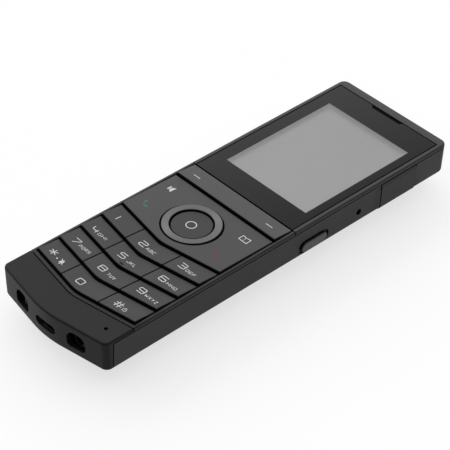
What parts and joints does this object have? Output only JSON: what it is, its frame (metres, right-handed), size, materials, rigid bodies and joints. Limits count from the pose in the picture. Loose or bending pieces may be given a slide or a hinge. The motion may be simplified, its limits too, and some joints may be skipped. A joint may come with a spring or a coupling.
{
  "type": "ip phone",
  "caption": "Slim black cordless IP phone handset with a grey screen under glass, chevron rows of wedge keys, a round navigation ring, side keys, end ports and a belt clip.",
  "frame": {"origin": "middle of the back, in the plane that the phone lies on", "axes": "+X to the right seen from the front, +Y along the phone towards the screen end, +Z out of the front, through the keys and the glass"},
  "size_m": [0.0496, 0.1568, 0.0188],
  "materials": {
    "frame_plastic": "fine satin black",
    "cap_plastic": "fine matt black",
    "shell_plastic": "fine matt black",
    "clip_plastic": "fine matt black",
    "lens_glass": "polished dark window",
    "display": "even grey screen",
    "mesh_metal": "matt black mesh",
    "key_plastic": "satin black with pale legends",
    "function_plastic": "satin black with printed icons",
    "ring_plastic": "satin grey lacquer",
    "side_plastic": "satin black",
    "mat_rubber": "matt black",
    "steel": "plain stamped steel",
    "contact_metal": "gold flash",
    "board": "green solder mask",
    "battery_wrap": "dark printed wrap",
    "component_black": "moulded black",
    "legend_ink": "pale printed legends",
    "call_ink": "green printed sign",
    "end_ink": "red printed sign"
  },
  "bodies": {
    "phone_body": {"front_housing": "frame_plastic", "keypad_bezel": "frame_plastic", "bottom_cap": "cap_plastic", "rear_housing": "shell_plastic", "clip_bracket": "clip_plastic", "glass_lens": "lens_glass", "display_module": "display", "receiver_mesh": "mesh_metal", "keypad_mat": "mat_rubber", "seal_ring": "mat_rubber", "dome_sheet": "steel", "shield_can": "steel", "usb_receptacle": "steel", "clip_pin": "steel", "clip_spring": "steel", "housing_screws": "steel", "lanyard_bar": "steel", "antenna": "contact_metal", "battery_contacts": "contact_metal", "main_board": "board", "battery": "battery_wrap", "receiver": "component_black", "loudspeaker": "component_black", "microphone": "component_black", "second_microphone": "component_black", "vibration_motor": "component_black", "headset_jack": "component_black", "side_switch": "component_black", "volume_switches": "component_black"},
    "key_star_body": {"key_star": "key_plastic"},
    "key_0_body": {"key_0": "key_plastic"},
    "key_hash_body": {"key_hash": "key_plastic"},
    "key_7_body": {"key_7": "key_plastic"},
    "key_8_body": {"key_8": "key_plastic"},
    "key_9_body": {"key_9": "key_plastic"},
    "key_4_body": {"key_4": "key_plastic"},
    "key_5_body": {"key_5": "key_plastic"},
    "key_6_body": {"key_6": "key_plastic"},
    "key_1_body": {"key_1": "key_plastic"},
    "key_2_body": {"key_2": "key_plastic"},
    "key_3_body": {"key_3": "key_plastic"},
    "centre_key_body": {"centre_key": "key_plastic"},
    "nav_ring_body": {"nav_ring": "ring_plastic"},
    "nav_plate_body": {"nav_plate": "function_plastic"},
    "soft_key_bar_body": {"soft_key_bar": "function_plastic"},
    "side_key_body": {"side_key": "side_plastic"},
    "volume_rocker_body": {"volume_rocker": "side_plastic"},
    "clip_lever_body": {"clip_lever": "clip_plastic"},
    "battery_door_body": {"battery_door": "shell_plastic"}
  },
  "joints": [
    {"name": "key_star_press", "type": "slide", "parent": "phone_body", "child": "key_star_body", "axis": [0, 0, -1], "range_m": [0, 0.00035], "stiffness_N_per_m": 3000},
    {"name": "key_0_press", "type": "slide", "parent": "phone_body", "child": "key_0_body", "axis": [0, 0, -1], "range_m": [0, 0.00035], "stiffness_N_per_m": 3000},
    {"name": "key_hash_press", "type": "slide", "parent": "phone_body", "child": "key_hash_body", "axis": [0, 0, -1], "range_m": [0, 0.00035], "stiffness_N_per_m": 3000},
    {"name": "key_7_press", "type": "slide", "parent": "phone_body", "child": "key_7_body", "axis": [0, 0, -1], "range_m": [0, 0.00035], "stiffness_N_per_m": 3000},
    {"name": "key_8_press", "type": "slide", "parent": "phone_body", "child": "key_8_body", "axis": [0, 0, -1], "range_m": [0, 0.00035], "stiffness_N_per_m": 3000},
    {"name": "key_9_press", "type": "slide", "parent": "phone_body", "child": "key_9_body", "axis": [0, 0, -1], "range_m": [0, 0.00035], "stiffness_N_per_m": 3000},
    {"name": "key_4_press", "type": "slide", "parent": "phone_body", "child": "key_4_body", "axis": [0, 0, -1], "range_m": [0, 0.00035], "stiffness_N_per_m": 3000},
    {"name": "key_5_press", "type": "slide", "parent": "phone_body", "child": "key_5_body", "axis": [0, 0, -1], "range_m": [0, 0.00035], "stiffness_N_per_m": 3000},
    {"name": "key_6_press", "type": "slide", "parent": "phone_body", "child": "key_6_body", "axis": [0, 0, -1], "range_m": [0, 0.00035], "stiffness_N_per_m": 3000},
    {"name": "key_1_press", "type": "slide", "parent": "phone_body", "child": "key_1_body", "axis": [0, 0, -1], "range_m": [0, 0.00035], "stiffness_N_per_m": 3000},
    {"name": "key_2_press", "type": "slide", "parent": "phone_body", "child": "key_2_body", "axis": [0, 0, -1], "range_m": [0, 0.00035], "stiffness_N_per_m": 3000},
    {"name": "key_3_press", "type": "slide", "parent": "phone_body", "child": "key_3_body", "axis": [0, 0, -1], "range_m": [0, 0.00035], "stiffness_N_per_m": 3000},
    {"name": "centre_key_press", "type": "slide", "parent": "phone_body", "child": "centre_key_body", "axis": [0, 0, -1], "range_m": [0, 0.00035], "stiffness_N_per_m": 3000},
    {"name": "nav_ring_rock", "type": "hinge", "parent": "phone_body", "child": "nav_ring_body", "pos_m": [0, -0.01735, 0.01695], "axis": [1, 0, 0], "range_deg": [-1.5, 1.5], "stiffness_Nm_per_rad": 0.5},
    {"name": "nav_plate_rock", "type": "hinge", "parent": "phone_body", "child": "nav_plate_body", "pos_m": [0, -0.01735, 0.01695], "axis": [0, 1, 0], "range_deg": [-0.5, 0.5], "stiffness_Nm_per_rad": 2},
    {"name": "soft_key_bar_rock", "type": "hinge", "parent": "phone_body", "child": "soft_key_bar_body", "pos_m": [0, 0.00131, 0.01695], "axis": [0, 1, 0], "range_deg": [-0.6, 0.6], "stiffness_Nm_per_rad": 2},
    {"name": "side_key_press", "type": "slide", "parent": "phone_body", "child": "side_key_body", "axis": [-1, 0, 0], "range_m": [0, 0.0003], "stiffness_N_per_m": 3000},
    {"name": "volume_rock", "type": "hinge", "parent": "phone_body", "child": "volume_rocker_body", "pos_m": [-0.022, 0.02132, 0.00955], "axis": [0, 0, 1], "range_deg": [-1, 1], "stiffness_Nm_per_rad": 1},
    {"name": "clip_swing", "type": "hinge", "parent": "phone_body", "child": "clip_lever_body", "pos_m": [0, 0.05744, 0.0034], "axis": [1, 0, 0], "range_deg": [0, 20], "stiffness_Nm_per_rad": 0.6, "springref_deg": -17.19},
    {"name": "battery_door_lift", "type": "slide", "parent": "phone_body", "child": "battery_door_body", "axis": [0, 0, -1], "range_m": [0, 0.02]}
  ]
}
